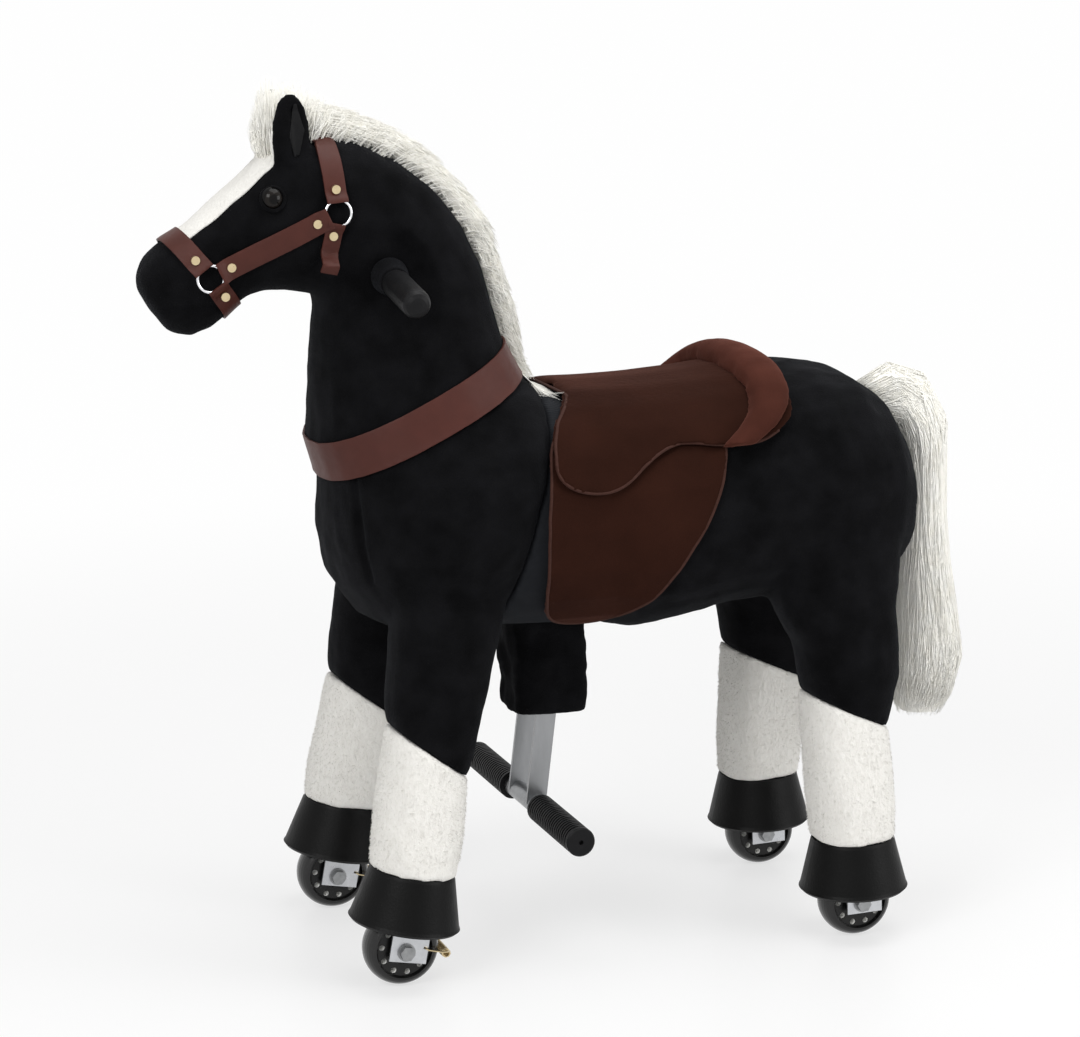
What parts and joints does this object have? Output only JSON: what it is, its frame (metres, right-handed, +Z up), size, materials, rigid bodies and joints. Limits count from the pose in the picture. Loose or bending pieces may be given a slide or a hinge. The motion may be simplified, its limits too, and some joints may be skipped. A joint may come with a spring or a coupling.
{
  "type": "ride-on horse",
  "caption": "Plush ride-on horse: hinged steel half-frames inside, cable-steered front forks, rolling wheels in hollow hooves, foot bar, saddle, bridle, mane and tail.",
  "frame": {"origin": "on the floor, midway along the length, in the middle plane", "axes": "+X towards the nose, +Y to the horse's left, +Z up"},
  "size_m": [0.9297, 0.39, 0.9104],
  "materials": {
    "plush_black": "short black plush pile",
    "stretch_black": "smooth black stretch knit",
    "plush_white": "short white plush pile",
    "hair_white": "long cream-white hair",
    "suede_brown": "dark red-brown suede",
    "strap_brown": "smooth red-brown leatherette",
    "frame_paint": "black powder coat",
    "zinc_steel": "zinc plated",
    "ring_chrome": "polished",
    "rivet_brass": "bright",
    "hoof_rubber": "satin black",
    "grip_rubber": "ribbed black",
    "tyre_black": "glossy black",
    "hub_black": "glossy black",
    "eye_brown": "glassy",
    "board_wood": "plain plywood"
  },
  "bodies": {
    "rear": {"rear_frame": "frame_paint", "hind_forks": "zinc_steel", "hind_axles": "zinc_steel", "seat_board": "board_wood", "hinge_bolt": "zinc_steel", "main_spring": "zinc_steel", "barrel": "plush_black", "stretch_panel": "stretch_black", "hind_leg_left": "plush_black", "hind_leg_right": "plush_black", "hind_socks": "plush_white", "hind_hooves": "hoof_rubber", "tail": "hair_white", "saddle_seat": "suede_brown", "saddle_flaps": "suede_brown", "cantle_roll": "suede_brown"},
    "front": {"front_frame": "frame_paint", "chest": "plush_black", "neck": "plush_black", "head": "plush_black", "ears": "plush_black", "eyes": "eye_brown", "mane": "hair_white", "front_leg_left": "plush_black", "front_leg_right": "plush_black", "front_socks": "plush_white", "front_hooves": "hoof_rubber", "breast_collar": "strap_brown", "noseband": "strap_brown", "cheek_straps": "strap_brown", "headstall": "strap_brown", "bridle_rings": "ring_chrome", "bridle_rivets": "rivet_brass", "pedal_strut": "zinc_steel", "pedal_grips": "grip_rubber", "pedal_boot": "plush_black", "steering_cables": "zinc_steel"},
    "steering": {"steering_column": "zinc_steel", "handle_bar": "frame_paint", "hand_grips": "grip_rubber"},
    "fork_left": {"fork_left": "zinc_steel", "front_axle_left": "zinc_steel", "drag_spring_left": "rivet_brass"},
    "fork_right": {"fork_right": "zinc_steel", "front_axle_right": "zinc_steel", "drag_spring_right": "rivet_brass"},
    "wheel_front_left": {"tyre_front_left": "tyre_black", "hub_front_left": "hub_black", "bearings_front_left": "zinc_steel"},
    "wheel_front_right": {"tyre_front_right": "tyre_black", "hub_front_right": "hub_black", "bearings_front_right": "zinc_steel"},
    "wheel_hind_left": {"tyre_hind_left": "tyre_black", "hub_hind_left": "hub_black", "bearings_hind_left": "zinc_steel"},
    "wheel_hind_right": {"tyre_hind_right": "tyre_black", "hub_hind_right": "hub_black", "bearings_hind_right": "zinc_steel"}
  },
  "joints": [
    {"name": "frame_hinge", "type": "hinge", "parent": "rear", "child": "front", "pos_m": [0.035, 0, 0.54565], "axis": [0, -1, 0], "range_deg": [0, 9], "stiffness_Nm_per_rad": 120, "springref_deg": -9.74, "deforming": ["main_spring", "stretch_panel"]},
    {"name": "steering", "type": "hinge", "parent": "front", "child": "steering", "pos_m": [0.27733, 0, 0.04764], "axis": [-0.1736, 0, 0.9848], "range_deg": [-15, 15]},
    {"name": "fork_left_turn", "type": "hinge", "parent": "front", "child": "fork_left", "pos_m": [0.234, 0.136, 0.04], "axis": [-0.1736, 0, 0.9848], "range_deg": [-15, 15]},
    {"name": "fork_right_turn", "type": "hinge", "parent": "front", "child": "fork_right", "pos_m": [0.234, -0.136, 0.04], "axis": [-0.1736, 0, 0.9848], "range_deg": [-15, 15]},
    {"name": "wheel_front_left_spin", "type": "hinge", "parent": "fork_left", "child": "wheel_front_left", "pos_m": [0.234, 0.136, 0.04], "axis": [0, 1, 0], "continuous": true},
    {"name": "wheel_hind_left_spin", "type": "hinge", "parent": "rear", "child": "wheel_hind_left", "pos_m": [-0.279, 0.136, 0.04], "axis": [0, 1, 0], "continuous": true},
    {"name": "wheel_front_right_spin", "type": "hinge", "parent": "fork_right", "child": "wheel_front_right", "pos_m": [0.234, -0.136, 0.04], "axis": [0, 1, 0], "continuous": true},
    {"name": "wheel_hind_right_spin", "type": "hinge", "parent": "rear", "child": "wheel_hind_right", "pos_m": [-0.279, -0.136, 0.04], "axis": [0, 1, 0], "continuous": true}
  ],
  "couplings": [
    {"joint": "fork_left_turn", "follows": "steering", "ratio": 1},
    {"joint": "fork_right_turn", "follows": "steering", "ratio": 1}
  ]
}
